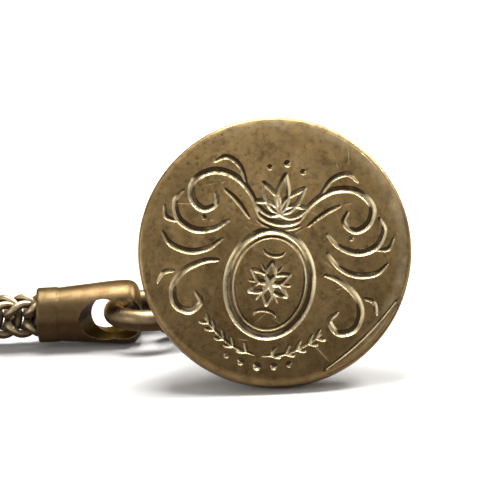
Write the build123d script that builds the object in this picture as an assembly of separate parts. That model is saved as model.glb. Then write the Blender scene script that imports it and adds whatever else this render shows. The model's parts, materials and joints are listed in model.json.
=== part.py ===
"""Pocket watch fob: an engraved seal on an oval link, a ring and an end cap,
then a loop-in-loop chain, a second cap and ring, and a swivel clasp.

Millimetres, +Z up. The fob lies on a table as it does when it is put down:
the seal rests on its rim and on the end of its handle, and the chain runs
off along -X. Each piece is modelled in a frame of its own and then placed.
"""
import math
import os

from build123d import *

# Seal: matrix, collet and handle, along the seal's axis from the face
FACE_DIAMETER = 24.0
MATRIX_THICKNESS = 2.2
MATRIX_BEVEL = 0.45
MATRIX_BACK_EDGE = 0.2
COLLET_STEP = 0.5
COLLET_RIM_HEIGHT = 0.7
COLLET_WAIST_RADIUS = 2.5
COLLET_HEIGHT = 8.6
COLLET_BEAD_RADIUS = 0.55
TENON_RADIUS = 1.3
TENON_DEPTH = 2.0
KNOP_RADIUS = 3.3
KNOP_HEIGHT = 3.4
NECK_RADIUS = 1.6
NECK_HEIGHT = 3.1
LOOP_RADIUS = 2.95
LOOP_WIRE = 2.05

# Flats round each bent wire and along it, and steps along the turned outlines
WIRE_SIDES = 10
HALF_RING_STEPS = 12
OGEE_STEPS = 6
OGEE_POWER = 2.6
BEAD_STEPS = 3
# Each pair is a share of the radius and a share of the height or length
KNOP_SHARES = ((0.94, 0.20), (1.00, 0.45), (0.84, 0.74))
NECK_SHARES = ((0.86, 0.40), (0.90, 0.80))
CAP_SHARES = ((0.935, 0.42), (1.00, 0.76), (0.965, 0.90), (0.72, 0.98))

# Oval link between the seal's loop and the ring
OVAL_SPAN = 12.4
OVAL_HALF_HEIGHT = 2.2
OVAL_WIRE = 1.5
OVAL_FLOOR_GAP = 0.05

# Round rings beside the end caps
RING_RADIUS = 3.5
RING_WIRE = 2.0
RING_OVAL_OFFSET = 0.5

# End caps, along their axis from the eye to the mouth
CAP_EYE_RADIUS = 1.92
CAP_EYE_LIP = 0.68
CAP_EYE_DROP = 0.08
CAP_EYE_SPLAY = 22.0
CAP_BULB_RADIUS = 2.95
CAP_LENGTH = 9.65
CAP_COLLAR_LENGTH = 1.9
CAP_MOUTH_RADIUS = 2.55
CAP_COLLAR_STEP = 0.08
CAP_MOUTH_ROUND = 0.22
CAP_BORE_RADIUS = 2.28
CAP_BORE_DEPTH = 4.0
PIN_RADIUS = 0.4

# Loop-in-loop chain: one wire loop folded in two, two eyes side by side.
# A quarter of the wire is a straight, a bend and an arc round the eye.
LINK_COUNT = 14
LINK_PITCH = 1.79
LINK_WIRE = 0.75
LINK_SIDES = 6
EYE_RADIUS = 1.41
EYE_ANGLE = 128.0
EYE_TILT = 28.6
BEND_REACH = 1.13
LINK_DEPTH = 3.86
BEND_STEPS = 2
EYE_STEPS = 3
LAST_LINK_EXTRA = 1.2
MOUTH_OVER_LINK = 1.0
LAST_MOUTH_OVER_LINK = 0.45
PIN_PLAY = 0.05

# Swivel clasp: eye with its spindle, hook, gate, pin and spring
SWIVEL_EYE_RADIUS = 2.25
SWIVEL_EYE_WIRE = 1.4
SPINDLE_RADIUS = 0.75
SPINDLE_HEAD_RADIUS = 1.2
SPINDLE_HEAD_LENGTH = 0.8
SPINDLE_PLAY = 0.1
COLLAR_RADIUS = 1.8
COLLAR_LENGTH = 1.6
YOKE_GAP = 2.0
YOKE_WIDTH = 5.2
YOKE_RAIL = 0.9
HOOK_THICKNESS = 2.2
HOOK_LENGTH = 19.0
HOOK_WIDTH = 10.4
HOOK_BAR = 2.0
HOOK_MOUTH = 5.6
GATE_BAR = 1.2
GATE_THICKNESS = 1.0
GATE_CLEARANCE = 0.12
GATE_PIN_RADIUS = 0.5
GATE_PIN_PLAY = 0.03
GATE_BOSS_RADIUS = 1.15
GATE_FORK_WALL = 0.55
GATE_TAB = 1.3
SPRING_THICKNESS = 0.2
SPRING_PLAY = 0.03
FOB_LINE_BACK = 15.95

# Worked out from the sizes above
FACE_RADIUS = FACE_DIAMETER / 2
COLLET_TOP = MATRIX_THICKNESS + COLLET_HEIGHT
KNOP_TOP = COLLET_TOP + KNOP_HEIGHT
NECK_TOP = KNOP_TOP + NECK_HEIGHT
LOOP_PLACE = NECK_TOP + LOOP_RADIUS
REST_RIM_PLACE = MATRIX_THICKNESS - MATRIX_BACK_EDGE
REST_REACH = LOOP_PLACE + LOOP_RADIUS - REST_RIM_PLACE
SEAL_TILT = math.acos(LOOP_WIRE / 2 / math.hypot(FACE_RADIUS, REST_REACH)) - math.atan2(REST_REACH, FACE_RADIUS)
LINE_HEIGHT = CAP_BULB_RADIUS
OVAL_HEIGHT = OVAL_HALF_HEIGHT + OVAL_WIRE / 2 + OVAL_FLOOR_GAP


def seal_plane():
    """The face's plane: local Z runs up the seal's axis, local -Y is the picture's up."""
    sine, cosine = math.sin(SEAL_TILT), math.cos(SEAL_TILT)
    centre_y = FACE_RADIUS * sine - REST_RIM_PLACE * cosine
    centre_z = REST_RIM_PLACE * sine + FACE_RADIUS * cosine
    return Plane(origin=(0, centre_y, centre_z), x_dir=(1, 0, 0), z_dir=(0, cosine, -sine))


def seal_matrix():
    disc = Cylinder(FACE_RADIUS, MATRIX_THICKNESS, align=(Align.CENTER, Align.CENTER, Align.MIN))
    rims = disc.edges().sort_by(Axis.Z)
    disc = chamfer(rims[0], MATRIX_BEVEL)
    back_rim = disc.edges().sort_by(Axis.Z)[-1]
    return chamfer(back_rim, MATRIX_BACK_EDGE)


def turned(outline):
    """A solid turned about Z from an outline of (radius, height) points."""
    return revolve(Plane.XZ * make_face(Polyline(*outline, close=True)), Axis.Z)


def seal_collet():
    """Flared foot with a plain rim, a hollow sweep up to its waist and a bead on top."""
    foot_radius = FACE_RADIUS - COLLET_STEP
    rim_top = MATRIX_THICKNESS + COLLET_RIM_HEIGHT
    bead_start = COLLET_TOP - 2 * COLLET_BEAD_RADIUS
    flare = foot_radius - COLLET_STEP - COLLET_WAIST_RADIUS
    outline = [(0, MATRIX_THICKNESS), (foot_radius, MATRIX_THICKNESS), (foot_radius, rim_top)]
    for step in range(OGEE_STEPS + 1):
        share = step / OGEE_STEPS
        outline.append((COLLET_WAIST_RADIUS + flare * (1 - share) ** OGEE_POWER,
                        rim_top + (bead_start - rim_top) * share))
    for step in range(1, BEAD_STEPS + 1):
        angle = math.pi * step / BEAD_STEPS
        outline.append((COLLET_WAIST_RADIUS + COLLET_BEAD_RADIUS * math.sin(angle),
                        bead_start + COLLET_BEAD_RADIUS * (1 - math.cos(angle))))
    outline += [(TENON_RADIUS, COLLET_TOP), (TENON_RADIUS, COLLET_TOP - TENON_DEPTH), (0, COLLET_TOP - TENON_DEPTH)]
    return turned(outline)


def seal_handle():
    """Baluster knop and neck on a tenon, with the loop at its end."""
    loop_inner = LOOP_PLACE - LOOP_RADIUS
    outline = [(0, COLLET_TOP - TENON_DEPTH), (TENON_RADIUS, COLLET_TOP - TENON_DEPTH), (TENON_RADIUS, COLLET_TOP),
               (COLLET_WAIST_RADIUS, COLLET_TOP)]
    outline += [(KNOP_RADIUS * wide, COLLET_TOP + KNOP_HEIGHT * high) for wide, high in KNOP_SHARES]
    outline.append((NECK_RADIUS, KNOP_TOP))
    outline += [(NECK_RADIUS * wide, KNOP_TOP + NECK_HEIGHT * high) for wide, high in NECK_SHARES]
    outline += [(NECK_RADIUS, loop_inner), (0, loop_inner)]
    loop = Pos(0, 0, LOOP_PLACE) * Rot(90, 0, 0) * wire_ring(LOOP_RADIUS, LOOP_WIRE)
    return turned(outline) + loop


def bent_wire(stations, wire, sides, across):
    """Wire with flats through stations of (centre, direction); across starts a corner of its section."""
    sections = []
    for centre, way in stations:
        across = (across - way * across.dot(way)).normalized()
        section = Plane(origin=centre, x_dir=across, z_dir=way) * RegularPolygon(wire / 2, sides)
        sections.append(section.face().outer_wire())
    return Part() + Solid.make_loft(sections, ruled=True)


def half_circle(radius):
    """Stations round half a circle in the XY plane, from +X over +Y to -X."""
    stations = []
    for step in range(HALF_RING_STEPS + 1):
        angle = math.pi * step / HALF_RING_STEPS
        stations.append((Vector(math.cos(angle), math.sin(angle), 0) * radius,
                         Vector(-math.sin(angle), math.cos(angle), 0)))
    return stations


def wire_ring(radius, wire):
    """Ring of round wire in the XY plane, centred on the origin."""
    half = bent_wire(half_circle(radius), wire, WIRE_SIDES, Vector(1, 0, 0))
    return half + Rot(0, 0, 180) * half


def oval_link():
    """Stadium of round wire in the XZ plane, centred, its long way along X."""
    half_straight = OVAL_SPAN / 2 - OVAL_HALF_HEIGHT
    stations = [(Vector(OVAL_HALF_HEIGHT, -half_straight, 0), Vector(0, 1, 0))]
    stations += [(centre + Vector(0, half_straight, 0), way) for centre, way in half_circle(OVAL_HALF_HEIGHT)]
    half = bent_wire(stations, OVAL_WIRE, WIRE_SIDES, Vector(1, 0, 0))
    return Rot(90, 0, 0) * Rot(0, 0, -90) * (half + Rot(0, 0, 180) * half)


def end_cap():
    """Cap whose ring runs through the origin, with its mouth towards -X and its eye a little below its axis."""
    tip = CAP_EYE_RADIUS + CAP_EYE_LIP
    mouth = tip - CAP_LENGTH
    body_radius = CAP_MOUTH_RADIUS - CAP_COLLAR_STEP
    body_length = CAP_LENGTH - CAP_COLLAR_LENGTH
    outline = [(0, 0), (CAP_MOUTH_RADIUS - CAP_MOUTH_ROUND, 0), (CAP_MOUTH_RADIUS, CAP_MOUTH_ROUND),
               (CAP_MOUTH_RADIUS, CAP_COLLAR_LENGTH), (body_radius, CAP_COLLAR_LENGTH)]
    outline += [(CAP_BULB_RADIUS * wide, CAP_COLLAR_LENGTH + body_length * along) for wide, along in CAP_SHARES]
    outline.append((0, CAP_LENGTH))
    cap = turned(outline) - Cylinder(CAP_BORE_RADIUS, CAP_BORE_DEPTH, align=(Align.CENTER, Align.CENTER, Align.MIN))
    cap = Pos(mouth, 0, 0) * Rot(0, 90, 0) * cap
    # Two crossing bores make an eye that widens sideways towards both openings, where the ring swings
    bore = Rot(90, 0, 0) * Cylinder(CAP_EYE_RADIUS, 3 * CAP_BULB_RADIUS)
    for splay in (CAP_EYE_SPLAY, -CAP_EYE_SPLAY):
        cap -= Pos(0, 0, -CAP_EYE_DROP) * Rot(0, 0, splay) * bore
    return cap


def cap_pin(place, across):
    """Flush pin through both walls of a cap; across is the axis that it runs along."""
    length = 2 * CAP_BULB_RADIUS
    pin = Cylinder(PIN_RADIUS, length)
    turned_pin = Rot(90, 0, 0) * pin if across == "Y" else pin
    return Pos(place, 0, 0) * turned_pin


def quarter_stations(extra):
    """Centres and directions of a quarter of the wire, from the pair to the eye's tip."""
    tilt, start = math.radians(EYE_TILT), math.radians(EYE_ANGLE)
    forward, up = Vector(math.cos(tilt), math.sin(tilt), 0), Vector(0, 0, 1)
    leave, arrive = Vector(0, -1, 0), forward * math.sin(start) - up * math.cos(start)
    pair_height = EYE_RADIUS * math.sin(start) + BEND_REACH * math.cos(start)
    corner = Vector(0, -LINK_DEPTH / 2, pair_height)
    meet = corner + arrive * BEND_REACH
    eye_centre = meet - (forward * math.cos(start) + up * math.sin(start)) * EYE_RADIUS
    turn = math.radians(leave.get_angle(arrive))
    bend_radius = BEND_REACH / math.tan(turn / 2)
    inward = (arrive - leave * leave.dot(arrive)).normalized()
    bend_centre = corner - leave * BEND_REACH + inward * bend_radius
    stations = [(Vector(0, 0, pair_height), leave)]
    for step in range(BEND_STEPS + 1):
        angle = turn * step / BEND_STEPS
        stations.append((bend_centre + (leave * math.sin(angle) - inward * math.cos(angle)) * bend_radius,
                         leave * math.cos(angle) + inward * math.sin(angle)))
    if extra:
        stations = [(place - Vector(extra, 0, 0), way) for place, way in stations]
    for step in range(0 if extra else 1, EYE_STEPS + 1):
        angle = start * (1 - step / EYE_STEPS)
        stations.append((eye_centre + (forward * math.cos(angle) + up * math.sin(angle)) * EYE_RADIUS,
                         forward * math.sin(angle) - up * math.cos(angle)))
    return stations


def chain_link(extra=0.0):
    """One folded wire loop; its pair crosses at x = 0 and its eyes reach towards +X."""
    quarter = bent_wire(quarter_stations(extra), LINK_WIRE, LINK_SIDES, Vector(1, 0, 0))
    eye = quarter + mirror(quarter, Plane.XY)
    return eye + mirror(eye, Plane.XZ)


def swivel_eye():
    """Ring centred on the origin in the XZ plane, with a headed spindle along -X."""
    eye = Rot(90, 0, 0) * wire_ring(SWIVEL_EYE_RADIUS, SWIVEL_EYE_WIRE)
    head_end = hook_face() - COLLAR_LENGTH - SPINDLE_PLAY - SPINDLE_HEAD_LENGTH
    spindle_length = -SWIVEL_EYE_RADIUS - head_end
    spindle = Pos(-SWIVEL_EYE_RADIUS, 0, 0) * Rot(0, -90, 0) * Cylinder(
        SPINDLE_RADIUS, spindle_length, align=(Align.CENTER, Align.CENTER, Align.MIN))
    head = Pos(head_end, 0, 0) * Rot(0, 90, 0) * Cylinder(
        SPINDLE_HEAD_RADIUS, SPINDLE_HEAD_LENGTH, align=(Align.CENTER, Align.CENTER, Align.MIN))
    return eye + spindle + head


def hook_face():
    """Where the hook's collar starts, behind the swivel eye's ring."""
    return -SWIVEL_EYE_RADIUS - SWIVEL_EYE_WIRE / 2 - SPINDLE_PLAY


def hook_start():
    """Right-hand end of the hook's loop, behind the yoke."""
    return hook_face() - COLLAR_LENGTH - YOKE_GAP


def gate_pivot():
    centre = hook_start() - HOOK_LENGTH / 2
    straight = (HOOK_LENGTH - HOOK_WIDTH) / 2
    return Vector(centre + straight, (HOOK_WIDTH - HOOK_BAR) / 2, 0)


def hook_body():
    """Flat hook in the XY plane with a yoke for the spindle and a fork for the gate."""
    centre = hook_start() - HOOK_LENGTH / 2
    pivot = gate_pivot()
    top_bar = HOOK_WIDTH / 2 - HOOK_BAR / 2
    inner_length, inner_width = HOOK_LENGTH - 2 * HOOK_BAR, HOOK_WIDTH - 2 * HOOK_BAR
    with BuildPart() as body:
        with BuildSketch():
            with Locations((centre, 0)):
                SlotOverall(HOOK_LENGTH, HOOK_WIDTH)
                SlotOverall(inner_length, inner_width, mode=Mode.SUBTRACT)
            with Locations((pivot.X - HOOK_MOUTH / 2, top_bar)):
                Rectangle(HOOK_MOUTH, 2 * HOOK_BAR, mode=Mode.SUBTRACT)
            with Locations((pivot.X, pivot.Y)):
                Circle(GATE_BOSS_RADIUS + GATE_FORK_WALL)
            with Locations((hook_start() + YOKE_GAP / 2, 0)):
                Rectangle(YOKE_GAP + 2 * HOOK_BAR, YOKE_WIDTH)
                Rectangle(YOKE_GAP, YOKE_WIDTH - 2 * YOKE_RAIL, mode=Mode.SUBTRACT)
        extrude(amount=HOOK_THICKNESS / 2, both=True)
    collar = Pos(hook_face(), 0, 0) * Rot(0, -90, 0) * Cylinder(
        COLLAR_RADIUS, COLLAR_LENGTH, align=(Align.CENTER, Align.CENTER, Align.MIN))
    ahead = Pos(hook_face() + HOOK_WIDTH / 2, 0, 0) * Box(HOOK_WIDTH, HOOK_WIDTH, HOOK_WIDTH)
    bore = Pos(hook_face(), 0, 0) * Rot(0, -90, 0) * Cylinder(
        SPINDLE_RADIUS + SPINDLE_PLAY, COLLAR_LENGTH + HOOK_BAR / 2, align=(Align.CENTER, Align.CENTER, Align.MIN))
    pin_hole = Pos(*pivot) * Cylinder(GATE_PIN_RADIUS, 2 * HOOK_THICKNESS)
    return (body.part - ahead) + collar - bore - gate_slot() - pin_hole


def gate_slot():
    """Space in the fork for the gate's boss, its swing and the spring behind it."""
    pivot = gate_pivot()
    height = GATE_THICKNESS + 2 * GATE_CLEARANCE
    radius = GATE_BOSS_RADIUS + GATE_CLEARANCE
    round_part = Pos(*pivot) * Cylinder(radius, height)
    swing = Pos(pivot.X - HOOK_BAR, pivot.Y - HOOK_BAR, 0) * Box(2 * HOOK_BAR, 2 * HOOK_BAR + 2 * radius, height)
    pocket = spring_block(GATE_THICKNESS + 2 * GATE_CLEARANCE, SPRING_THICKNESS + SPRING_PLAY)
    return round_part + swing + pocket


def spring_block(height, depth):
    """Upright leaf behind the gate's boss, as the spring or as the pocket round it."""
    pivot = gate_pivot()
    start = pivot.X + GATE_BOSS_RADIUS + SPRING_PLAY
    return Pos(start + SPRING_THICKNESS / 2 - (depth - SPRING_THICKNESS) / 2, pivot.Y, 0) * Box(
        depth, 2 * GATE_BOSS_RADIUS, height)


def hook_gate():
    """Gate bar from its boss to the hook's nose, with a tab that stops inside the nose."""
    pivot = gate_pivot()
    nose = pivot.X - HOOK_MOUTH + GATE_CLEARANCE
    inside = HOOK_WIDTH / 2 - HOOK_BAR - GATE_CLEARANCE
    with BuildPart() as gate:
        with BuildSketch():
            with Locations((pivot.X, pivot.Y)):
                Circle(GATE_BOSS_RADIUS)
            bar_centre = (nose + pivot.X) / 2
            with Locations((bar_centre, pivot.Y)):
                Rectangle(pivot.X - nose, GATE_BAR)
            tab_top = pivot.Y
            with Locations((nose + GATE_BAR / 2, (tab_top + inside - GATE_TAB) / 2)):
                Rectangle(GATE_BAR, tab_top - inside + GATE_TAB)
            with Locations((nose, inside - GATE_TAB / 2)):
                Rectangle(2 * GATE_BAR, GATE_TAB)
        extrude(amount=GATE_THICKNESS / 2, both=True)
    return gate.part - Pos(*pivot) * Cylinder(GATE_PIN_RADIUS + GATE_PIN_PLAY, 2 * HOOK_THICKNESS)


def gate_pin():
    return Pos(*gate_pivot()) * Cylinder(GATE_PIN_RADIUS, HOOK_THICKNESS)


def gate_spring():
    return spring_block(GATE_THICKNESS, SPRING_THICKNESS)


def layout():
    """Places along the fob line, from the seal's loop to the clasp."""
    loop = seal_plane().from_local_coords(Vector(0, 0, LOOP_PLACE))
    swing = math.asin((loop.Y - FOB_LINE_BACK) / OVAL_SPAN)
    oval_end = -OVAL_SPAN * math.cos(swing)
    ring_x = oval_end - RING_OVAL_OFFSET
    eye_x = ring_x - RING_RADIUS
    mouth_reach = CAP_LENGTH - CAP_EYE_RADIUS - CAP_EYE_LIP
    mouth_x = eye_x - mouth_reach
    first_link = mouth_x - MOUTH_OVER_LINK
    last_link = first_link - (LINK_COUNT - 1) * LINK_PITCH
    watch_mouth = last_link + LAST_MOUTH_OVER_LINK
    watch_eye = watch_mouth - mouth_reach
    clasp_ring = watch_eye - RING_RADIUS
    swivel = clasp_ring - RING_RADIUS
    return {"loop": loop, "swing": math.degrees(swing), "oval_end": oval_end, "ring": ring_x, "eye": eye_x,
            "first_link": first_link, "last_link": last_link, "watch_eye": watch_eye,
            "clasp_ring": clasp_ring, "swivel": swivel}


def on_line(x):
    return Pos(x, FOB_LINE_BACK, LINE_HEIGHT)


def pinned_cap(cap_place, pin_place, across, mirrored):
    """A cap drilled for its pin, and the pin cut flush with the cap, both in place."""
    cap = end_cap()
    if mirrored:
        cap = mirror(cap, Plane.YZ)
    pin = cap_pin(pin_place - cap_place, across)
    skin = Rot(0, 90, 0) * Cylinder(CAP_MOUTH_RADIUS - CAP_COLLAR_STEP, 2 * CAP_LENGTH)
    return on_line(cap_place) * (cap - pin), on_line(cap_place) * (pin & skin)


def all_pieces():
    at = layout()
    seal = seal_plane().location
    pieces = {
        "seal_matrix": seal * seal_matrix(),
        "seal_collet": seal * seal_collet(),
        "seal_handle": seal * seal_handle(),
    }
    middle = Vector(at["oval_end"] / 2, (at["loop"].Y + FOB_LINE_BACK) / 2, OVAL_HEIGHT)
    pieces["oval_link"] = Pos(*middle) * Rot(0, 0, at["swing"]) * oval_link()
    pieces["seal_ring"] = on_line(at["ring"]) * wire_ring(RING_RADIUS, RING_WIRE)
    seal_pin = at["first_link"] + LINK_PITCH + PIN_PLAY
    cap, pin = pinned_cap(at["eye"], seal_pin, "Y", False)
    pieces["seal_end_cap"] = cap
    pieces["seal_cap_pin"] = pin
    link = chain_link()
    for number in range(LINK_COUNT - 1):
        pieces[f"chain_link_{number + 1:02d}"] = on_line(at["first_link"] - number * LINK_PITCH) * link
    pieces[f"chain_link_{LINK_COUNT:02d}"] = on_line(at["last_link"]) * chain_link(LAST_LINK_EXTRA)
    watch_pin = at["last_link"] - LAST_LINK_EXTRA + LINK_WIRE / 2 + PIN_PLAY + PIN_RADIUS
    cap, pin = pinned_cap(at["watch_eye"], watch_pin, "Z", True)
    pieces["watch_end_cap"] = cap
    pieces["watch_cap_pin"] = pin
    pieces["clasp_ring"] = on_line(at["clasp_ring"]) * wire_ring(RING_RADIUS, RING_WIRE)
    for name, piece in (("swivel_eye", swivel_eye()), ("hook_body", hook_body()), ("hook_gate", hook_gate()),
                        ("gate_pin", gate_pin()), ("gate_spring", gate_spring())):
        pieces[name] = on_line(at["swivel"]) * piece
    return pieces


def centred(pieces):
    """Shifts everything so that the origin is the bottom centre of the whole fob."""
    box = Compound(children=[Part() + piece for piece in pieces.values()]).bounding_box()
    shift = Pos(-(box.min.X + box.max.X) / 2, -(box.min.Y + box.max.Y) / 2, -box.min.Z)
    return {name: shift * piece for name, piece in pieces.items()}


def main():
    os.makedirs("parts", exist_ok=True)
    for name, piece in centred(all_pieces()).items():
        export_step(piece, f"parts/{name}.step")


main()
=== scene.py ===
"""Looks of the pocket watch fob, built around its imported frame. Lengths are in metres."""
import json
import math

import bmesh
import bpy
import numpy as np
from mathutils import Matrix, Vector


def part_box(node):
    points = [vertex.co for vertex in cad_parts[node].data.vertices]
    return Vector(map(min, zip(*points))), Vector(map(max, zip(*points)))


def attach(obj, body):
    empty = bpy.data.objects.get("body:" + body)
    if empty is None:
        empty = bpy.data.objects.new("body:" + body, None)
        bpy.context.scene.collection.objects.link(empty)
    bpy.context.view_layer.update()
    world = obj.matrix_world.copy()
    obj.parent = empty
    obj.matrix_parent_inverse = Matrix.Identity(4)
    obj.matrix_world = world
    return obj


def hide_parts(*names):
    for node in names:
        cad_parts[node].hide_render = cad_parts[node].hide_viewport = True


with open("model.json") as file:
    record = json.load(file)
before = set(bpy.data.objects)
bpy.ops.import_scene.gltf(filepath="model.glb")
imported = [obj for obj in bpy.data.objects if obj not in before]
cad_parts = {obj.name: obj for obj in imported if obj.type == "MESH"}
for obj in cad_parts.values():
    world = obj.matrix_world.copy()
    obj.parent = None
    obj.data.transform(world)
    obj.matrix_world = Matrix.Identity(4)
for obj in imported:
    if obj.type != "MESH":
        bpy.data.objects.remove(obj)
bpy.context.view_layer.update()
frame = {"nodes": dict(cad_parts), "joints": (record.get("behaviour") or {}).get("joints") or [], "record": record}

MM = 0.001

# Seal plate
FACE_RADIUS = 12.0 * MM
MATRIX_THICKNESS = 2.2 * MM
MATRIX_BEVEL = 0.45 * MM
MATRIX_BACK_EDGE = 0.2 * MM
RIM_ANGLES = (22, 45, 68, 90)
RIM_EASE = 0.5 * MM
RIM_DROP = 0.05 * MM
FACE_GRID = 400

# Collet, knop, neck and loop behind the plate
COLLET_STEP = 0.5 * MM
COLLET_EDGE = 0.12 * MM
COLLET_RIM_HEIGHT = 0.7 * MM
COLLET_WAIST_RADIUS = 2.5 * MM
COLLET_HEIGHT = 8.6 * MM
COLLET_BEAD_RADIUS = 0.55 * MM
COLLET_BEAD_SINK = 0.02 * MM
COLLET_TOP_SINK = 0.05 * MM
OGEE_POWER = 2.6
KNOP_RADIUS = 3.3 * MM
KNOP_HEIGHT = 3.4 * MM
KNOP_LIFT = 0.02 * MM
KNOP_FOOT_SHARE = 0.96
# Each pair is a share of the knop's radius and of its height
KNOP_SHARES = ((0.94, 0.20), (1.0, 0.45), (0.82, 0.75))
NECK_RADIUS = 1.6 * MM
NECK_HEIGHT = 3.1 * MM
NECK_FLARE = 0.25 * MM
NECK_OVERRUN = 0.3 * MM
# Shares of the neck's radius at its waist, its flare and its end, and of its height at the waist
NECK_WAIST_SHARE = 0.86
NECK_FLARE_SHARE = 1.02
NECK_END_SHARE = 0.90
NECK_RISE_SHARE = 0.40
LOOP_RADIUS = 2.95 * MM
LOOP_WIRE = 2.05 * MM

# Oval link and rings
OVAL_SPAN = 12.4 * MM
OVAL_HALF_HEIGHT = 2.2 * MM
OVAL_WIRE = 1.5 * MM
RING_RADIUS = 3.5 * MM
RING_WIRE = 2.0 * MM
WIRE_EASE = 0.02 * MM

# End caps
CAP_EYE_RADIUS = 1.92 * MM
CAP_EYE_LIP = 0.68 * MM
CAP_EYE_DROP = 0.08 * MM
CAP_EYE_SPLAY = math.radians(22)
CAP_BULB_RADIUS = 2.95 * MM
CAP_LENGTH = 9.65 * MM
CAP_COLLAR_LENGTH = 1.9 * MM
CAP_MOUTH_RADIUS = 2.55 * MM
CAP_MOUTH_ROUND = 0.22 * MM
CAP_COLLAR_STEP = 0.08 * MM
CAP_BORE_RADIUS = 2.33 * MM
CAP_BORE_DEPTH = 4.0 * MM
# Each pair is a share of the bulb's radius and a share of the length from the collar to the tip
CAP_SHARES = ((0.880, 0.18), (0.930, 0.42), (0.970, 0.60), (0.992, 0.75),
              (0.980, 0.86), (0.90, 0.93), (0.70, 0.977), (0.40, 0.995))

# Chain
LINK_COUNT = 14
LINK_WIRE = 0.75 * MM
EYE_RADIUS = 1.41 * MM
EYE_ANGLE = math.radians(128.0)
EYE_TILT = math.radians(28.6)
BEND_REACH = 1.13 * MM
LINK_DEPTH = 3.86 * MM
LAST_LINK_EXTRA = 1.2 * MM
BEND_STEPS = 9
EYE_STEPS = 16

# Swivel of the clasp
SWIVEL_EYE_RADIUS = 2.25 * MM
SWIVEL_EYE_WIRE = 1.4 * MM
SPINDLE_RADIUS = 0.75 * MM
SPINDLE_HEAD_RADIUS = 1.2 * MM
SPINDLE_HEAD_LENGTH = 0.8 * MM
SPINDLE_PLAY = 0.1 * MM
COLLAR_LENGTH = 1.6 * MM

# Grain of the remesh that rounds a piece's edges, and the gap under which two corners are one
CAP_GRAIN = 0.07 * MM
SWIVEL_GRAIN = 0.07 * MM
HANDLE_GRAIN = 0.08 * MM
HOOK_GRAIN = 0.09 * MM
GATE_GRAIN = 0.06 * MM
MERGE_GAP = 0.0001 * MM

# Depths of the face's relief
GROOVE_DEPTH = 0.20 * MM
LEDGE_DEPTH = 0.22 * MM
PIT_DEPTH = 0.028 * MM
WAVE_DEPTH = 0.02 * MM

# From here to the colours, lengths are in millimetres and places start at the face's centre.
# A line is a groove's half width, and a petal is a length and a half width.
ENGRAVING_TURN = math.radians(-11.1)
CARTOUCHE_CENTRE = (0.0, -3.1)
CARTOUCHE_RADII = (3.75, 4.75)
CARTOUCHE_LINE = 0.33
INNER_OVAL_INSET = 0.62
INNER_OVAL_LINE = 0.11
ROSETTE_COUNT = 6
ROSETTE_PETAL = (1.9, 0.42)
ROSETTE_LINE = 0.19
PETAL_POWER = 0.8
# Distances from the rosette's centre
RAY_ENDS = (1.1, 1.9)
RAY_LINE = 0.10
CRESCENT_OFFSET = 2.95
CRESCENT_RADII = (0.95, 0.5)
CRESCENT_LINE = 0.14
PALMETTE_ROOT = (0.0, 3.2)
PALMETTE_WIDTH = 0.52
PALMETTE_LINE = 0.22
# Each leaf's angle in degrees and its length
PALMETTE_LEAVES = ((18, 2.5), (54, 3.1), (90, 3.5), (126, 3.1), (162, 2.5))
# Each bow's centre, radii, first and last angle in degrees, and half width
PALMETTE_BOWS = (((0.0, 3.6), (2.2, 1.3), 205, 335, 0.27), ((0.0, 3.1), (2.4, 1.3), 215, 325, 0.14))
# Each scroll's points on the left side, and its half width
LEFT_SCROLLS = (
    (((-1.9, 2.9), (-2.7, 4.5), (-4.3, 5.9), (-6.3, 6.2), (-7.9, 5.1), (-7.9, 3.5), (-6.8, 2.6), (-5.7, 3.2),
      (-5.9, 4.2)), 0.33),
    (((-2.6, 2.4), (-3.9, 3.8), (-5.2, 4.7)), 0.20),
    (((-4.3, 2.0), (-5.6, 1.0), (-7.3, 0.7), (-8.8, 1.5), (-9.3, 3.0), (-8.7, 4.1)), 0.30),
    (((-8.9, 1.2), (-9.9, 1.5), (-10.2, 2.5)), 0.20),
    (((-4.6, 0.3), (-5.8, -0.8), (-7.4, -1.3), (-9.1, -0.9), (-10.0, 0.1)), 0.27),
    (((-4.7, -1.7), (-6.0, -2.0), (-7.6, -3.1), (-8.3, -4.6), (-7.9, -6.1), (-6.6, -6.6), (-5.7, -5.7),
      (-6.3, -4.8)), 0.33),
    (((-8.4, -3.2), (-9.3, -3.5), (-9.7, -4.5)), 0.20),
    (((-3.2, 5.1), (-4.1, 6.9), (-5.4, 7.6), (-6.4, 7.0)), 0.22),
)
RIGHT_SPRIG = ((0.3, -9.6), (2.3, -9.1), (4.0, -8.0), (5.2, -6.9))
SPRIG_LINE = 0.13
LEAF_SHARES = (0.16, 0.34, 0.52, 0.70, 0.88)
LEAF_LENGTH = 0.85
LEAF_LINE = 0.17
# The sprig's general direction and how far its leaves lean from it, in degrees
SPRIG_WAY = 35
LEAF_LEAN = 38
# Height and radius of the dots on the middle line, then place and radius of those of the right side
MIDDLE_DOTS = ((-10.55, 0.36), (7.75, 0.30))
RIGHT_DOTS = ((1.45, -10.35, 0.30), (2.75, -9.95, 0.26), (1.5, 7.2, 0.24), (6.55, 1.9, 0.20))

# How a stroke cuts: its section, its shares at its ends and as a hairline, and its gain with its width
GROOVE_POWER = 1.3
STROKE_MARGIN = 0.05
STROKE_END_SHARE = 0.35
HAIRLINE_SHARE = 0.35
DEPTH_GAIN = 2.2

# Painted shadow on the upper side of a groove
LEE_SPREAD = 3
LEE_SIDEWAYS = 0.7
LEE_SLOPE = 2.0

# Worn step at the lower right, bowed outwards, with a furrow at its foot
LEDGE_BLEND = 0.10
LEDGE_ALONG = np.array([0.747, 0.665])
LEDGE_OUT = np.array([0.665, -0.747])
LEDGE_REACH = 10.66
LEDGE_SWELL = 0.42
LEDGE_HALF = 4.6
FURROW_SHARE = 0.45
FURROW_WIDTH = 0.13

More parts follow.
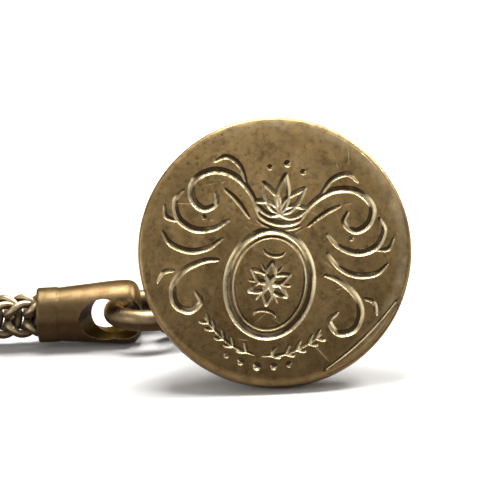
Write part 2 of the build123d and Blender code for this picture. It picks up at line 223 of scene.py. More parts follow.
# Band rubbed bare inside the rim: the direction it faces, its shares of the radius, and between
# which cosines of the angle from that direction it fades in
BAND_TOWARDS = (0.88, 0.47)
BAND_START_SHARE = 0.885
BAND_BLEND_SHARE = 0.05
BAND_FADE = (-0.1, 0.5)

# Scratches of the worn face: the long ones by their ends and half width, the others by their
# spread about the centre, mean and spread of their direction in degrees, lengths and half widths
LONG_SCRATCHES = ((((2.6, -8.2), (4.3, -10.2)), 0.07), (((-9.4, 4.6), (-6.6, 4.4)), 0.04))
SCRATCH_COUNT = 26
SCRATCH_SHARE = 0.25
SCRATCH_SPREAD = 4.5
SCRATCH_WAY = (-15, 40)
SCRATCH_LENGTHS = (0.8, 3.0)
SCRATCH_WIDTHS = (0.025, 0.045)

# Corrosion pits, of which a share lies in one patch
PIT_COUNT = 320
PATCH_SHARE = 0.6
PATCH_CENTRE = (-4.6, 7.4)
PATCH_SPREAD = 2.0
PIT_SPREAD = 6.0
PIT_RADII = (0.06, 0.2)
PIT_DEPTH_SHARES = (0.15, 1.0)

# Unevenness of the face: each wave's height as a share, then its rates along x and y
SLOW_WAVE = (0.35, 0.9, 0.8)
QUICK_WAVE = (0.20, 2.3, 1.7)
# Reach and rate of the slow wave's bend
WAVE_BEND = (1.3, 0.5)
WAVE_SHIFT = 0.4
WAVE_LEVEL = 0.55

# Colours
BRASS_LIGHT = (0.36, 0.25, 0.115)
BRASS_DEEP = (0.19, 0.125, 0.052)
BRASS_PATINA = (0.030, 0.020, 0.011)
BRASS_BARE = (0.95, 0.79, 0.49)
BRASS_REDDISH = (0.20, 0.115, 0.050)
BRASS_RUBBED = (0.62, 0.47, 0.26)
# Dark brown of the painted shade on undersides and towards the plate's foot
BRASS_PAINTED_SHADE = (0.024, 0.009, 0.0025)
BRASS_HOLLOW = (0.045, 0.024, 0.011)
# Near-black brown of the painted shadow on the upper side of the grooves
GROOVE_SHADOW = (0.014, 0.006, 0.0015)
EDGE_TINT = (0.85, 0.62, 0.36)
EDGE_GLOSS = 0.25
# Each metal by its light, deep and patina colours and its roughness
FACE_BRASS = ((0.62, 0.42, 0.185), (0.42, 0.275, 0.115), (0.025, 0.017, 0.010), 0.38)
CAST_BRASS = (BRASS_LIGHT, BRASS_DEEP, BRASS_PATINA, 0.40)
WIRE_BRASS = ((0.60, 0.45, 0.25), (0.34, 0.245, 0.13), BRASS_PATINA, 0.36)
CAP_BRASS = ((0.215, 0.155, 0.078), (0.105, 0.070, 0.031), BRASS_PATINA, 0.40)
CHAIN_BRASS = ((0.86, 0.70, 0.44), (0.60, 0.46, 0.26), BRASS_PATINA, 0.36)
CLASP_BRASS = ((0.40, 0.285, 0.135), BRASS_DEEP, BRASS_PATINA, 0.36)
SPRING_STEEL = ((0.42, 0.42, 0.44), (0.25, 0.25, 0.27), (0.05, 0.05, 0.05), 0.30)

# Sizes of the noise in the brass, in turns a metre
MOTTLE_NOISE = 170
PATINA_NOISE = 850
BLUSH_NOISE = 90
# Clouds that break up the painted shade on undersides
SHADE_NOISE = 260
GRAIN_NOISE = 2400
BAND_NOISE = 520
WALL_NOISE = 600
DEPTH_NOISE = 500
LEE_NOISE = 350
GLOSS_NOISE = 420
HAIRLINE_WAVES = 700
BUMP_NOISE = 1500

# Heights between which painted shade thickens towards the plate's foot, and reaches of hollows, edges and bump
PLATE_SHADE_TOP = 19 * MM
PLATE_SHADE_FOOT = 1 * MM
HOLLOW_REACH = 0.9 * MM
EDGE_REACH = 0.16 * MM
BUMP_DEPTH = 0.02 * MM
BUMP_STRENGTH = 0.45

# Floor, world and lamps
FLOOR_SIZE = 1.6
FLOOR_PLACE = (0, 0.2, 0)
FLOOR_COLOUR = (0.82, 0.81, 0.79, 1)
FLOOR_ROUGHNESS = 0.9
WORLD_COLOUR = (0.95, 0.94, 0.92, 1)
WORLD_STRENGTH = 0.45
# Each pair is a height of the direction, as its sine, and the room's level there
ROOM_LEVELS = ((0.05, 1.0), (0.22, 0.42), (0.60, 0.27), (1.0, 0.62))
ROOM_TINT = (1.0, 0.985, 0.96)
# Each lamp's name, place, aim, size and power in watts
LAMPS = (
    ("key_above", (0.02, 0.07, 0.30), (0.02, 0.0, 0.008), 0.14, 1.0),
    ("key_right", (0.22, 0.10, 0.25), (0.02, 0.0, 0.006), 0.10, 0.9),
    ("fill_left", (-0.30, -0.22, 0.16), (0.0, 0.0, 0.01), 0.20, 0.25),
)

# The photograph's view
PHOTO_SIZE = 500
DISC_CENTRE_PX = (274.6, 249.0)
FACE_MM_PER_PX = 0.0876
CAMERA_DISTANCE = 0.25
CAMERA_ELEVATION = math.radians(15.2)
CAMERA_ROLL = math.radians(-2.6)
CAMERA_CLIP = 0.01
SENSOR_WIDTH_MM = 36.0

JOINTS = {joint["name"]: joint for joint in frame["joints"]}
MOUNTS = {mount["name"]: mount for mount in frame["record"]["mounts"]}


def joint_place(name):
    return Vector(JOINTS[name]["pos_m"])


def seal_matrix_world():
    """Local X is the picture's right, local Y its up, local Z runs out of the face."""
    normal = Vector(MOUNTS["seal_face"]["axis"]).normalized()
    right = Vector((1, 0, 0))
    up = normal.cross(right)
    basis = Matrix((right, up, normal)).transposed().to_4x4()
    return Matrix.Translation(Vector(MOUNTS["seal_face"]["pos_m"])) @ basis


def new_mesh(name, vertices, faces):
    mesh = bpy.data.meshes.new(name)
    mesh.from_pydata([tuple(v) for v in vertices], [], [tuple(f) for f in faces])
    mesh.update()
    mesh.polygons.foreach_set("use_smooth", [True] * len(mesh.polygons))
    piece = bpy.data.objects.new(name, mesh)
    bpy.context.scene.collection.objects.link(piece)
    return piece


def tube_mesh(name, points, radius, sides):
    """A round wire along points that close on themselves."""
    points = np.asarray(points, float)
    count = len(points)
    tangents = np.roll(points, -1, 0) - np.roll(points, 1, 0)
    tangents /= np.linalg.norm(tangents, axis=1)[:, None]
    guide = np.array([0.0, 0.0, 1.0]) if abs(tangents[0][2]) < 0.9 else np.array([1.0, 0.0, 0.0])
    normals = []
    for tangent in tangents:
        guide = guide - tangent * guide.dot(tangent)
        guide /= np.linalg.norm(guide)
        normals.append(guide.copy())
    normals = untwisted(tangents, np.array(normals))
    sideways = np.cross(tangents, normals)
    angles = np.linspace(0, 2 * math.pi, sides, endpoint=False)
    rings = points[:, None] + radius * (np.cos(angles)[None, :, None] * normals[:, None]
                                        + np.sin(angles)[None, :, None] * sideways[:, None])
    faces = []
    for i in range(count):
        j = (i + 1) % count
        for k in range(sides):
            m = (k + 1) % sides
            faces.append((i * sides + k, j * sides + k, j * sides + m, i * sides + m))
    return new_mesh(name, rings.reshape(-1, 3), faces)


def untwisted(tangents, normals):
    """Spreads the closing twist of a closed wire's frames evenly along it."""
    last, first = normals[-1], normals[0]
    carried = last - tangents[0] * last.dot(tangents[0])
    carried /= np.linalg.norm(carried)
    twist = math.atan2(np.dot(np.cross(carried, first), tangents[0]), carried.dot(first))
    turned = []
    for i, (tangent, normal) in enumerate(zip(tangents, normals)):
        angle = twist * i / len(normals)
        turned.append(normal * math.cos(angle) + np.cross(tangent, normal) * math.sin(angle))
    return np.array(turned)


def lathe(name, profile, segments):
    """Turns (radius, height) points about Z; points on the axis close the ends."""
    vertices, rows = [], []
    for radius, height in profile:
        if radius < 1e-9:
            rows.append([len(vertices)] * segments)
            vertices.append((0, 0, height))
            continue
        row = []
        for k in range(segments):
            angle = 2 * math.pi * k / segments
            row.append(len(vertices))
            vertices.append((radius * math.cos(angle), radius * math.sin(angle), height))
        rows.append(row)
    faces = []
    for low, high in zip(rows, rows[1:]):
        for k in range(segments):
            m = (k + 1) % segments
            corners = [low[k], low[m], high[m], high[k]]
            faces.append(tuple(dict.fromkeys(corners)))
    return new_mesh(name, vertices, [f for f in faces if len(f) > 2])


def curve_points(points, steps=10):
    """Catmull-Rom points through an outline."""
    points = [np.array(p, float) for p in points]
    padded = [2 * points[0] - points[1]] + points + [2 * points[-1] - points[-2]]
    out = []
    for a, b, c, d in zip(padded, padded[1:], padded[2:], padded[3:]):
        for t in np.linspace(0, 1, steps, endpoint=False):
            out.append(0.5 * (2 * b + (c - a) * t + (2 * a - 5 * b + 4 * c - d) * t ** 2
                              + (3 * b - a - 3 * c + d) * t ** 3))
    out.append(points[-1])
    return np.array(out)


def link_points(extra):
    """Closed centre line of a chain link: a straight pair at x = 0 or extra behind it, bends and eyes."""
    forward, up = np.array([math.cos(EYE_TILT), math.sin(EYE_TILT), 0]), np.array([0, 0, 1])
    leave, arrive = np.array([0, -1, 0]), forward * math.sin(EYE_ANGLE) - up * math.cos(EYE_ANGLE)
    pair_height = EYE_RADIUS * math.sin(EYE_ANGLE) + BEND_REACH * math.cos(EYE_ANGLE)
    corner = np.array([0, -LINK_DEPTH / 2, pair_height])
    eye_start = forward * math.cos(EYE_ANGLE) + up * math.sin(EYE_ANGLE)
    eye_centre = corner + arrive * BEND_REACH - eye_start * EYE_RADIUS
    turn = math.acos(leave @ arrive)
    bend_radius = BEND_REACH / math.tan(turn / 2)
    inward = arrive - leave * (leave @ arrive)
    inward /= np.linalg.norm(inward)
    bend_centre = corner - leave * BEND_REACH + inward * bend_radius
    shift = np.array([-extra, 0, 0])
    straight = np.linspace(0, BEND_REACH - LINK_DEPTH / 2, 4)[:-1]
    quarter = [np.array([-extra, y, pair_height]) for y in straight]
    for angle in np.linspace(0, turn, BEND_STEPS):
        out = leave * math.sin(angle) - inward * math.cos(angle)
        quarter.append(shift + bend_centre + out * bend_radius)
    # The eye starts at the bend's last point, unless an extra length parts them
    for angle in np.linspace(EYE_ANGLE, 0, EYE_STEPS)[0 if extra else 1:]:
        quarter.append(eye_centre + (forward * math.cos(angle) + up * math.sin(angle)) * EYE_RADIUS)
    quarter = np.array(quarter)
    near = np.vstack([quarter, (quarter * [1, 1, -1])[::-1][1:]])
    far = (near * [1, -1, 1])[::-1]
    return np.vstack([near, far[1:-1]])


def dress(piece, node, body, material):
    piece.data.materials.clear()
    piece.data.materials.append(material)
    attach(piece, body)
    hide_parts(node)


def place(piece, matrix):
    piece.data.transform(matrix)
    if matrix.determinant() < 0:
        piece.data.flip_normals()
    piece.data.update()
    return piece


def cylinder(radius, length, matrix, segments=96):
    """A temporary bar about Z, moved by the matrix, for cutting or joining."""
    mesh = bpy.data.meshes.new("helper")
    work = bmesh.new()
    bmesh.ops.create_cone(work, cap_ends=True, segments=segments, radius1=radius, radius2=radius,
                          depth=length)
    work.to_mesh(mesh)
    work.free()
    helper = bpy.data.objects.new("helper", mesh)
    bpy.context.scene.collection.objects.link(helper)
    mesh.transform(matrix)
    return helper


def applied(piece):
    """Takes the modifiers into the mesh."""
    graph = bpy.context.evaluated_depsgraph_get()
    mesh = bpy.data.meshes.new_from_object(piece.evaluated_get(graph))
    piece.modifiers.clear()
    old = piece.data
    piece.data = mesh
    bpy.data.meshes.remove(old)


def combine(piece, other, operation):
    change = piece.modifiers.new("combine", "BOOLEAN")
    change.object = other
    change.operation = operation
    change.solver = "EXACT"
    applied(piece)
    bpy.data.objects.remove(other)


def worn(piece, voxel, smoothing=4):
    """Rounds every edge as wear does: a fine remesh, then a light smoothing."""
    remesh = piece.modifiers.new("remesh", "REMESH")
    remesh.mode = "VOXEL"
    remesh.voxel_size = voxel
    relax = piece.modifiers.new("relax", "SMOOTH")
    relax.factor = 0.5
    relax.iterations = smoothing
    applied(piece)
    piece.data.polygons.foreach_set("use_smooth", [True] * len(piece.data.polygons))
    return piece


def turn_to(axis, place_at=(0, 0, 0)):
    """Matrix that carries Z onto the axis, at a place."""
    return Matrix.Translation(Vector(place_at)) @ Vector(axis).to_track_quat("Z", "Y").to_matrix().to_4x4()


def end_cap_mesh(name):
    """Cap with its eye centred on the origin and its mouth towards -X."""
    tip = CAP_EYE_RADIUS + CAP_EYE_LIP
    mouth = tip - CAP_LENGTH
    collar = mouth + CAP_COLLAR_LENGTH
    bore_end = mouth + CAP_BORE_DEPTH
    body_length = CAP_LENGTH - CAP_COLLAR_LENGTH
    outline = [(CAP_MOUTH_RADIUS - CAP_COLLAR_STEP, collar)]
    outline += [(CAP_BULB_RADIUS * wide, collar + body_length * along) for wide, along in CAP_SHARES]
    profile = [(0, bore_end), (CAP_BORE_RADIUS, bore_end), (CAP_BORE_RADIUS, mouth),
               (CAP_MOUTH_RADIUS - CAP_MOUTH_ROUND / 2, mouth), (CAP_MOUTH_RADIUS, mouth + CAP_MOUTH_ROUND),
               (CAP_MOUTH_RADIUS, collar)]
    profile += [tuple(point) for point in curve_points(outline)] + [(0, tip)]
    cap = lathe(name, profile, 128)
    cap.data.transform(turn_to((1, 0, 0)))
    # Two crossing bores make an eye that widens sideways towards both openings
    for splay in (CAP_EYE_SPLAY, -CAP_EYE_SPLAY):
        way = turn_to((math.sin(splay), math.cos(splay), 0), (0, 0, -CAP_EYE_DROP))
        combine(cap, cylinder(CAP_EYE_RADIUS, 4 * CAP_BULB_RADIUS, way), "DIFFERENCE")
    return worn(cap, CAP_GRAIN)


def torus_points(radius, count, plane="XY"):
    angles = np.linspace(0, 2 * math.pi, count, endpoint=False)
    first, second, zero = radius * np.cos(angles), radius * np.sin(angles), np.zeros(count)
    order = {"XY": (first, second, zero), "XZ": (first, zero, second)}[plane]
    return np.stack(order, axis=1)


def oval_points():
    """Centre line of the oval link: two half circles and two straights, upright in XZ."""
    half = (OVAL_SPAN - 2 * OVAL_HALF_HEIGHT) / 2
    points = []
    for end, start in ((1, -90), (-1, 90)):
        for angle in np.radians(np.linspace(start, start + 180, 28)):
            across, rise = math.cos(angle), math.sin(angle)
            points.append((end * half + OVAL_HALF_HEIGHT * across, 0, OVAL_HALF_HEIGHT * rise))
        for share in np.linspace(0, 1, 14)[1:-1]:
            points.append((end * half * (1 - 2 * share), 0, end * OVAL_HALF_HEIGHT))
    return points


def arc_line(centre, radii, start, end, count):
    angles = np.radians(np.linspace(start, end, count))
    return np.stack([centre[0] + radii[0] * np.cos(angles), centre[1] + radii[1] * np.sin(angles)], axis=1)


def petal(root, angle, length, width):
    """A closed leaf outline from its root to its tip and back."""
    outline = []
    for side in (1, -1):
        for share in np.linspace(0, 1, 10)[::side]:
            outline.append((share * length, side * width * math.sin(math.pi * share ** PETAL_POWER)))
    outline.pop(10)
    cosine, sine = math.cos(math.radians(angle)), math.sin(math.radians(angle))
    return [(root[0] + x * cosine - y * sine, root[1] + x * sine + y * cosine) for x, y in outline]


def cartouche_strokes():
    """An oval frame with a rosette and two crescents, as (points, half width, whether it tapers)."""
    (cx, cy), (rx, ry) = CARTOUCHE_CENTRE, CARTOUCHE_RADII
    inner = (rx - INNER_OVAL_INSET, ry - INNER_OVAL_INSET)
    strokes = [(arc_line((cx, cy), (rx, ry), 0, 360, 90), CARTOUCHE_LINE, False),
               (arc_line((cx, cy), inner, 0, 360, 90), INNER_OVAL_LINE, False)]
    step = 360 / ROSETTE_COUNT
    for k in range(ROSETTE_COUNT):
        strokes.append((petal((cx, cy), 90 + step * k, *ROSETTE_PETAL), ROSETTE_LINE, False))
        angle = math.radians(step * (k + 1))
        ray = [(cx + reach * math.cos(angle), cy + reach * math.sin(angle)) for reach in RAY_ENDS]
        strokes.append((ray, RAY_LINE, True))
    for side, start in ((-1, 0), (1, 180)):
        centre = (cx, cy + side * CRESCENT_OFFSET)
        strokes.append((arc_line(centre, CRESCENT_RADII, start, start + 180, 20), CRESCENT_LINE, True))
    return strokes


def palmette_strokes():
    """A spray of leaves over two bows."""
    strokes = [(petal(PALMETTE_ROOT, angle, length, PALMETTE_WIDTH), PALMETTE_LINE, False)
               for angle, length in PALMETTE_LEAVES]
    for centre, radii, start, end, width in PALMETTE_BOWS:
        strokes.append((arc_line(centre, radii, start, end, 30), width, True))
    return strokes


def mirrored(points, side):
    return [(side * x, y) for x, y in points]


def side_strokes(side):
    """Scrolls and a leafy sprig; the scrolls are written for the left, the sprig for the right."""
    strokes = [(curve_points(mirrored(points, side)), width, True) for points, width in LEFT_SCROLLS]
    sprig = curve_points(mirrored(RIGHT_SPRIG, side))
    strokes.append((sprig, SPRIG_LINE, True))
    way = SPRIG_WAY if side > 0 else 180 - SPRIG_WAY
    for share in LEAF_SHARES:
        base = sprig[int(share * (len(sprig) - 1))]
        for lean in (LEAF_LEAN, -LEAF_LEAN):
            angle = math.radians(way + lean)
            tip = base + LEAF_LENGTH * np.array([math.cos(angle), math.sin(angle)])
            strokes.append(([base, (base + tip) / 2, tip], LEAF_LINE, True))
    return strokes


def engraving_strokes():
    """Generic ornament: an oval cartouche with a rosette, a palmette, paired scrolls and sprigs."""
    return cartouche_strokes() + palmette_strokes() + side_strokes(1) + side_strokes(-1)


def engraving_dots():
    dots = [(0.0, y, radius) for y, radius in MIDDLE_DOTS]
    for side in (1, -1):
        dots += [(side * x, y, radius) for x, y, radius in RIGHT_DOTS]
    return dots


def stroke_depth(places, points, width, tapered):
    """How deep one stroke cuts at each place, from 0 to 1, with tapering ends."""
    points = np.asarray(points, float)
    reach = width + STROKE_MARGIN
    low, high = points.min(0) - reach, points.max(0) + reach
    near = np.where(np.all((places > low) & (places < high), axis=1))[0]
    depth = np.zeros(len(places))
    if len(near) == 0:
        return depth
    spot = places[near]
    count = len(points) - 1
    best = np.zeros(len(near))
    for i, (a, b) in enumerate(zip(points, points[1:])):
        way = b - a
        share = np.clip(((spot - a) @ way) / max(way @ way, 1e-12), 0, 1)
        gap = np.linalg.norm(spot - a - share[:, None] * way, axis=1)
        bow = np.sqrt(np.clip(np.sin(math.pi * (i + share) / count), 0, 1))
        swell = STROKE_END_SHARE + (1 - STROKE_END_SHARE) * bow if tapered else 1.0
        cut = np.clip(1 - (gap / (width * swell)) ** GROOVE_POWER, 0, 1) * swell
        best = np.maximum(best, cut)
    depth[near] = best
    return depth


def worn_ledge(places):
    """The step worn along a shallow arc at the lower right, from 0 on the face to 1 beyond it."""
    along, out = places @ LEDGE_ALONG, places @ LEDGE_OUT
    return np.clip((out - ledge_edge(along)) / LEDGE_BLEND + 0.5, 0, 1)


def ledge_edge(along):
    return LEDGE_REACH + LEDGE_SWELL * np.clip(1 - (along / LEDGE_HALF) ** 2, 0, 1)


def ledge_line():
    """The furrow at the step's foot."""
    along = np.linspace(-LEDGE_HALF, LEDGE_HALF, 24)
    return along[:, None] * LEDGE_ALONG + ledge_edge(along)[:, None] * LEDGE_OUT


def face_cut(places):
    """How deep the engraving, the scratches and the furrow cut, from 0 to 1."""
    cosine, sine = math.cos(ENGRAVING_TURN), math.sin(ENGRAVING_TURN)
    local = places @ np.array([[cosine, -sine], [sine, cosine]])
    cut = np.zeros(len(places))
    for points, width, tapered in engraving_strokes():
        share = min(1.0, HAIRLINE_SHARE + DEPTH_GAIN * width)
        cut = np.maximum(cut, share * stroke_depth(local, points, width, tapered))
    for x, y, radius in engraving_dots():
        gap = np.linalg.norm(local - np.array([x, y]), axis=1)
        cut = np.maximum(cut, np.clip(1 - (gap / radius) ** 2, 0, 1))
    for points, width in scratches():
        cut = np.maximum(cut, SCRATCH_SHARE * stroke_depth(places, points, width, True))
    return np.maximum(cut, FURROW_SHARE * stroke_depth(places, ledge_line(), FURROW_WIDTH, True))


def face_waves(places):
    """Unevenness of the worn face, as a share of its depth."""
    x, y = places[:, 0], places[:, 1]
    height, rate_x, rate_y = SLOW_WAVE
    bend, bend_rate = WAVE_BEND
    slow = height * np.sin(x * rate_x + bend * np.sin(y * bend_rate)) * np.cos(y * rate_y + WAVE_SHIFT)
    height, rate_x, rate_y = QUICK_WAVE
    return slow + height * np.sin(x * rate_x - y * rate_y) - WAVE_LEVEL


def face_relief(places):
    """Height in metres, cut and pits of the face."""
    cut = face_cut(places)
    pits = face_pits(places)
    height = (WAVE_DEPTH * face_waves(places) - GROOVE_DEPTH * cut
              - LEDGE_DEPTH * worn_ledge(places) - PIT_DEPTH * pits)
    return height, cut, pits


def scratches():
    """Fine scratches as (two points, half width); the longest crosses the lower right."""
    rng = np.random.default_rng(11)
    lines = list(LONG_SCRATCHES)
    for _ in range(SCRATCH_COUNT):
        start = rng.normal(size=2) * SCRATCH_SPREAD
        way = math.radians(rng.normal(*SCRATCH_WAY))
        reach = rng.uniform(*SCRATCH_LENGTHS)
        end = start + reach * np.array([math.cos(way), math.sin(way)])
        lines.append(([start, end], rng.uniform(*SCRATCH_WIDTHS)))
    return lines


def face_pits(places):
    """Corrosion pits: a patch at the upper left and single ones all over."""
    rng = np.random.default_rng(7)
    pits = np.zeros(len(places))
    for _ in range(PIT_COUNT):
        in_patch = rng.random() < PATCH_SHARE
        centre, spread = (np.array(PATCH_CENTRE), PATCH_SPREAD) if in_patch else (np.zeros(2), PIT_SPREAD)
        spot = centre + rng.normal(size=2) * spread
        radius, deep = rng.uniform(*PIT_RADII), rng.uniform(*PIT_DEPTH_SHARES)
        near = np.abs(places - spot).max(axis=1) < 3 * radius
        gap2 = ((places[near] - spot) ** 2).sum(1)
        pits[near] = np.maximum(pits[near], np.exp(-gap2 / radius ** 2) * deep)
    return pits


def groove_lee(cut, line, reach):
    """How far each place lies on the upper or inner side of a groove, where the painted shadow lies."""
    u, v = np.meshgrid(line, line)
    for _ in range(LEE_SPREAD):
        wide = np.pad(cut, 1, mode="edge")
        cut = (2 * cut + wide[2:, 1:-1] + wide[:-2, 1:-1] + wide[1:-1, 2:] + wide[1:-1, :-2]) / 6
    along_v, along_u = np.gradient(cut, line, line)
    x_by_u, y_by_v = np.sqrt(1 - v ** 2 / 2), np.sqrt(1 - u ** 2 / 2)
    x_by_v, y_by_u = -u * v / (2 * x_by_u), -u * v / (2 * y_by_v)
    spread = (x_by_u * y_by_v - x_by_v * y_by_u) * reach
    slope_x = (along_u * y_by_v - along_v * y_by_u) / spread
    slope_y = (along_v * x_by_u - along_u * x_by_v) / spread
    sideways = LEE_SIDEWAYS * np.tanh(u * reach / 2)
    return np.clip((slope_x * sideways - slope_y) / LEE_SLOPE, 0, 1)


def rubbed_band(x, y):
    """How bare the face is rubbed inside its rim, on the upper right only."""
    far = np.hypot(x, y)
    inside = np.clip((far / FACE_RADIUS - BAND_START_SHARE) / BAND_BLEND_SHARE, 0, 1)
    towards = (x * BAND_TOWARDS[0] + y * BAND_TOWARDS[1]) / np.maximum(far, MM)
    low, high = BAND_FADE
    return inside * np.clip((towards - low) / (high - low), 0, 1)


def rim_profile():
    """The rim's radii and heights, from the face's edge round to the back."""
    profile = []
    for angle in np.radians(RIM_ANGLES):
        radius = FACE_RADIUS - MATRIX_BEVEL + MATRIX_BEVEL * math.sin(angle)
        profile.append((radius, -MATRIX_BEVEL * (1 - math.cos(angle)) - RIM_DROP * (1 - math.sin(angle))))
    back = -MATRIX_THICKNESS
    return profile + [(FACE_RADIUS, back / 2), (FACE_RADIUS, back + MATRIX_BACK_EDGE),
                      (FACE_RADIUS - MATRIX_BACK_EDGE, back)]


def close_plate(vertices, faces, border):
    """Adds the rim's rings round the border of the face, and the flat back."""
    ring = border
    for radius, height in rim_profile():
        fresh = []
        for old in border:
            x, y, z = vertices[old]
            far = math.hypot(x, y)
            drop = z + RIM_DROP if radius < FACE_RADIUS else 0.0
            fresh.append(len(vertices))
            vertices.append(np.array([x / far * radius, y / far * radius, height + drop]))
        for k in range(len(ring)):
            m = (k + 1) % len(ring)
            faces.append((ring[k], fresh[k], fresh[m], ring[m]))
        ring = fresh
    centre = len(vertices)
    vertices.append(np.array([0, 0, -MATRIX_THICKNESS]))
    for k in range(len(ring)):
        faces.append((ring[k], centre, ring[(k + 1) % len(ring)]))


def seal_matrix_mesh(name):
    """The engraved plate: a round grid for its face, with its rim and back."""
    flat_radius = FACE_RADIUS - MATRIX_BEVEL
    line = np.linspace(-1, 1, FACE_GRID)
    u, v = np.meshgrid(line, line)
    x = (u * np.sqrt(1 - v ** 2 / 2)).ravel() * flat_radius
    y = (v * np.sqrt(1 - u ** 2 / 2)).ravel() * flat_radius
    places = np.stack([x, y], axis=1) / MM
    height, cut, pits = face_relief(places)
    ease = np.clip((flat_radius - np.hypot(x, y)) / RIM_EASE, 0, 1) ** 0.5
    height = np.minimum(height * np.maximum(ease, worn_ledge(places)), 0) - RIM_DROP * (1 - ease)
    vertices = list(np.stack([x, y, height], axis=1))
    index = np.arange(FACE_GRID ** 2).reshape(FACE_GRID, FACE_GRID)
    faces = [(index[i, j], index[i, j + 1], index[i + 1, j + 1], index[i + 1, j])
             for i in range(FACE_GRID - 1) for j in range(FACE_GRID - 1)]
    border = list(index[0, :-1]) + list(index[:-1, -1]) + list(index[-1, :0:-1]) + list(index[:0:-1, 0])
    close_plate(vertices, faces, border)
    piece = new_mesh(name, vertices, faces)
    lee = groove_lee(cut.reshape(FACE_GRID, FACE_GRID), line, flat_radius / MM)
    layers = {"cut": cut, "pits": pits, "overhang": lee.ravel(), "band": rubbed_band(x, y)}
    for key, values in layers.items():
        layer = piece.data.attributes.new(key, "FLOAT", "POINT")
        layer.data.foreach_set("value", np.pad(values, (0, len(vertices) - len(values))).astype(np.float32))
    return piece


def collet_mesh(name):
    foot = FACE_RADIUS - COLLET_STEP
    rim_top = MATRIX_THICKNESS + COLLET_RIM_HEIGHT
    top = MATRIX_THICKNESS + COLLET_HEIGHT
    bead_start = top - 2 * COLLET_BEAD_RADIUS
    sweep = bead_start - rim_top
    flare = foot - COLLET_STEP - COLLET_WAIST_RADIUS
    ogee = [(COLLET_WAIST_RADIUS + flare * (1 - share) ** OGEE_POWER, rim_top + sweep * share)
            for share in np.linspace(0, 1, 40)]
    bead = [(COLLET_WAIST_RADIUS + COLLET_BEAD_RADIUS * math.cos(angle) - COLLET_BEAD_SINK,
             bead_start + COLLET_BEAD_RADIUS * (1 + math.sin(angle)))
            for angle in np.radians(np.linspace(-80, 80, 14))]
    inset = foot - COLLET_EDGE
    profile = [(0, MATRIX_THICKNESS), (inset, MATRIX_THICKNESS), (foot, MATRIX_THICKNESS + COLLET_EDGE),
               (foot, rim_top - COLLET_EDGE), (inset, rim_top)]
    profile += ogee + bead + [(COLLET_WAIST_RADIUS - COLLET_TOP_SINK, top), (0, top)]
    return lathe(name, profile, 144)


def handle_mesh(name):
    """Knop, neck and loop, with the knop's foot on the collet."""
    foot = MATRIX_THICKNESS + COLLET_HEIGHT
    knop_top = foot + KNOP_HEIGHT
    loop_inner = knop_top + NECK_HEIGHT
    neck_end = loop_inner + NECK_OVERRUN
    outline = [(COLLET_WAIST_RADIUS * KNOP_FOOT_SHARE, foot + KNOP_LIFT)]
    outline += [(KNOP_RADIUS * wide, foot + KNOP_HEIGHT * high) for wide, high in KNOP_SHARES]
    outline += [(NECK_RADIUS, knop_top),
                (NECK_RADIUS * NECK_WAIST_SHARE, knop_top + NECK_HEIGHT * NECK_RISE_SHARE),
                (NECK_RADIUS * NECK_FLARE_SHARE, loop_inner - NECK_FLARE),
                (NECK_RADIUS * NECK_END_SHARE, neck_end)]
    skin = [tuple(point) for point in curve_points(outline, 12)]
    piece = lathe(name, [(0, foot)] + skin + [(0, neck_end)], 96)
    loop = tube_mesh("helper", torus_points(LOOP_RADIUS, 128, "XZ"), LOOP_WIRE / 2 - WIRE_EASE, 48)
    loop.data.transform(Matrix.Translation((0, 0, loop_inner + LOOP_RADIUS)))
    combine(piece, loop, "UNION")
    return worn(piece, HANDLE_GRAIN, 5)


def swivel_mesh(name):
    """Ring with a headed spindle towards -X."""
    eye = tube_mesh(name, torus_points(SWIVEL_EYE_RADIUS, 96, "XZ"), SWIVEL_EYE_WIRE / 2, 40)
    face = -SWIVEL_EYE_RADIUS - SWIVEL_EYE_WIRE / 2 - SPINDLE_PLAY
    head_end = face - COLLAR_LENGTH - SPINDLE_PLAY - SPINDLE_HEAD_LENGTH
    for radius, length in ((SPINDLE_RADIUS, -SWIVEL_EYE_RADIUS - head_end),
                           (SPINDLE_HEAD_RADIUS, SPINDLE_HEAD_LENGTH)):
        bar = cylinder(radius, length, turn_to((1, 0, 0), (head_end + length / 2, 0, 0)), 48)
        combine(eye, bar, "UNION")
    return worn(eye, SWIVEL_GRAIN)


def from_cad(node, name, voxel, smoothing):
    """A worn copy of a CAD node's own shape, its facets and edges smoothed."""
    piece = bpy.data.objects.new(name, frame["nodes"][node].data.copy())
    bpy.context.scene.collection.objects.link(piece)
    work = bmesh.new()
    work.from_mesh(piece.data)
    bmesh.ops.remove_doubles(work, verts=work.verts, dist=MERGE_GAP)
    work.to_mesh(piece.data)
    work.free()
    return worn(piece, voxel, smoothing)


